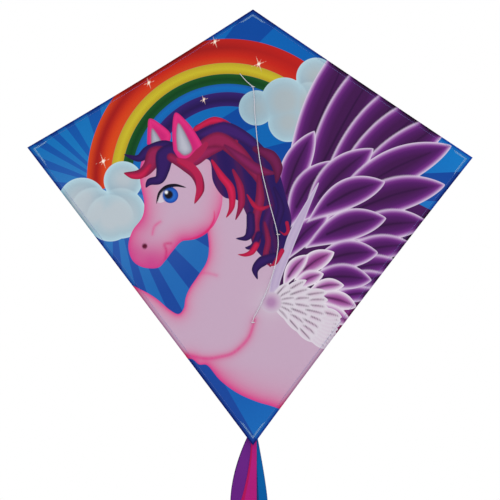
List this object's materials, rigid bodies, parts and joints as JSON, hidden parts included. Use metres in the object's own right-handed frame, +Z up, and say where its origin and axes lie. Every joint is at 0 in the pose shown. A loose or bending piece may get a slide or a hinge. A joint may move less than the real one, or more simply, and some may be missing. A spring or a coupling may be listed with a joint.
{
  "type": "diamond kite",
  "caption": "Diamond kite: printed cloth sail on a fibreglass spine and a swivelling cross spar, with a two-point bridle, tow ring and ribbon tail.",
  "frame": {"origin": "on the centreline of the spine, where the cross spar passes behind it", "axes": "+X to the right as the printed face is seen, +Y away from the printed face, +Z up the spine to the nose"},
  "size_m": [0.7618, 0.026, 1.6127],
  "materials": {
    "sail_cloth": "printed polyester taffeta with a light coating, blue and violet print with pink",
    "pocket_cloth": "navy polyester, plain weave",
    "patch_cloth": "white self-adhesive ripstop",
    "fibreglass": "pultruded glass fibre rod, pale natural",
    "vinyl": "soft black vinyl",
    "fitting_plastic": "moulded black nylon",
    "rivet_metal": "plain aluminium",
    "ring_steel": "nickel-plated steel wire",
    "bridle_cord": "white braided polyester line",
    "webbing": "navy polypropylene webbing",
    "binding_tape": "violet binding tape",
    "ribbon_purple": "violet polyester ribbon cloth",
    "ribbon_magenta": "magenta polyester ribbon cloth",
    "ribbon_blue": "blue polyester ribbon cloth"
  },
  "bodies": {
    "sail_frame": {"sail": "sail_cloth", "nose_pocket": "pocket_cloth", "tail_pocket": "pocket_cloth", "tip_pocket_left": "pocket_cloth", "tip_pocket_right": "pocket_cloth", "spine": "fibreglass", "spine_cap_top": "vinyl", "spine_cap_bottom": "vinyl", "spine_clip": "fitting_plastic", "swivel_rivet": "rivet_metal", "bridle_patch_upper": "patch_cloth", "bridle_patch_lower": "patch_cloth", "bridle_tie_upper": "bridle_cord", "bridle_tie_lower": "bridle_cord", "bridle_tag": "bridle_cord", "tail_tab": "webbing"},
    "spar": {"cross_spar": "fibreglass", "spar_cap_left": "vinyl", "spar_cap_right": "vinyl", "spar_clip": "fitting_plastic"},
    "bridle": {"bridle_line": "bridle_cord", "tow_knot": "bridle_cord", "tow_ring": "ring_steel"},
    "tail_link": {"tail_ring": "ring_steel"},
    "tail": {"tail_loop": "binding_tape", "tail_band": "binding_tape", "tail_ribbon_purple": "ribbon_purple", "tail_ribbon_magenta": "ribbon_magenta", "tail_ribbon_blue": "ribbon_blue"}
  },
  "joints": [
    {"name": "spar_swivel", "type": "hinge", "parent": "sail_frame", "child": "spar", "pos_m": [0, 0.0049, 0], "axis": [0, 1, 0], "range_deg": [0, 90], "deforming": ["tip_pocket_left", "tip_pocket_right"]},
    {"name": "bridle_swing", "type": "hinge", "parent": "sail_frame", "child": "bridle", "pos_m": [0, -0.0061, 0], "axis": [0, 0, 1], "range_deg": [-170, 0]},
    {"name": "tail_swing", "type": "hinge", "parent": "sail_frame", "child": "tail_link", "pos_m": [0, 0.00545, -0.458], "axis": [1, 0, 0], "range_deg": [0, 90]},
    {"name": "tail_sway", "type": "hinge", "parent": "tail_link", "child": "tail", "pos_m": [0, 0.00545, -0.458], "axis": [0, 1, 0], "range_deg": [-25, 25]}
  ]
}
